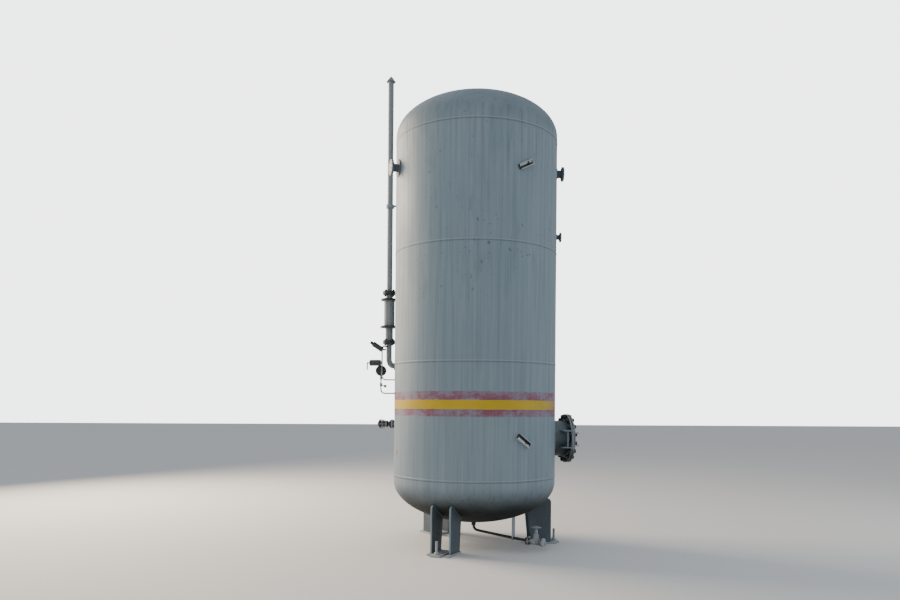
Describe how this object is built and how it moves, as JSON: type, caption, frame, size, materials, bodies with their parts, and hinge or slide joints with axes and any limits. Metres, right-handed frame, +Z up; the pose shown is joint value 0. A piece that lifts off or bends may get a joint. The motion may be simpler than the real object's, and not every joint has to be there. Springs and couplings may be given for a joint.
{
  "type": "vertical gas receiver tank",
  "caption": "Upright cylindrical pressure vessel with domed ends on plate legs, with a hinged side manway, vent stack, safety valve, gauge, gas valve and bottom drain.",
  "frame": {"origin": "middle of the part's box in X and Y, at the underside of the foot plates", "axes": "+Z up along the vessel; +X outwards along the manway's axis; +Y level, completing a right-handed frame"},
  "size_m": [2.3418, 1.826, 5.43],
  "materials": {
    "slate_paint": "weathered light slate grey paint with streaks and spots",
    "pale_plate": "paler worn grey paint on plates, channels and the drain valve",
    "grey_pipe": "weathered grey paint on pipes and flanges",
    "dark_iron": "dark rough cast iron",
    "bare_steel": "bare dull steel",
    "black_case": "black enamelled case"
  },
  "bodies": {
    "tank": {"bottom_head": "slate_paint", "shell_lower": "slate_paint", "shell_middle": "slate_paint", "shell_upper": "slate_paint", "top_head": "slate_paint", "leg_1_left_rib": "slate_paint", "leg_1_right_rib": "slate_paint", "leg_2_left_rib": "slate_paint", "leg_2_right_rib": "slate_paint", "leg_3_left_rib": "slate_paint", "leg_3_right_rib": "slate_paint", "manway_neck": "slate_paint", "hinge_bracket": "slate_paint", "upper_right_nozzle": "slate_paint", "lower_right_nozzle": "slate_paint", "upper_left_nozzle": "slate_paint", "vent_bracket": "slate_paint", "safety_valve_nozzle": "slate_paint", "gas_nozzle": "slate_paint", "leg_1_foot_plate": "pale_plate", "leg_2_foot_plate": "pale_plate", "leg_3_foot_plate": "pale_plate", "upper_bracket": "pale_plate", "lower_bracket": "pale_plate", "drain_hanger": "pale_plate", "drain_valve": "pale_plate", "upper_right_nozzle_blind_flange": "grey_pipe", "lower_right_nozzle_blind_flange": "grey_pipe", "upper_left_nozzle_blind_flange": "grey_pipe", "vent_pipe": "grey_pipe", "vent_rain_cap": "grey_pipe", "vent_expansion_cylinder": "grey_pipe", "safety_valve_outlet_pipe": "grey_pipe", "safety_valve": "grey_pipe", "manway_flange": "dark_iron", "gas_valve": "dark_iron", "drain_pipe": "dark_iron", "hinge_pin": "bare_steel", "gauge_pipe": "bare_steel", "pilot_line": "bare_steel", "gauge": "black_case"},
    "manway_cover": {"manway_cover": "grey_pipe", "cover_arm_upper": "grey_pipe", "cover_arm_lower": "grey_pipe"},
    "gas_handwheel": {"gas_valve_handwheel": "grey_pipe"},
    "drain_handwheel": {"drain_valve_handwheel": "pale_plate"}
  },
  "joints": [
    {"name": "manway_cover_hinge", "type": "hinge", "parent": "tank", "child": "manway_cover", "pos_m": [1.08985, -0.335, 1.19], "axis": [0, 0, -1], "range_deg": [0, 105]},
    {"name": "gas_handwheel_turn", "type": "hinge", "parent": "tank", "child": "gas_handwheel", "pos_m": [-0.99962, 0.22082, 1.34], "axis": [-0.3256, -0.9455, 0], "continuous": true},
    {"name": "drain_handwheel_turn", "type": "hinge", "parent": "tank", "child": "drain_handwheel", "pos_m": [0.60091, -0.60702, 0.26], "axis": [0, 0, 1], "continuous": true}
  ]
}
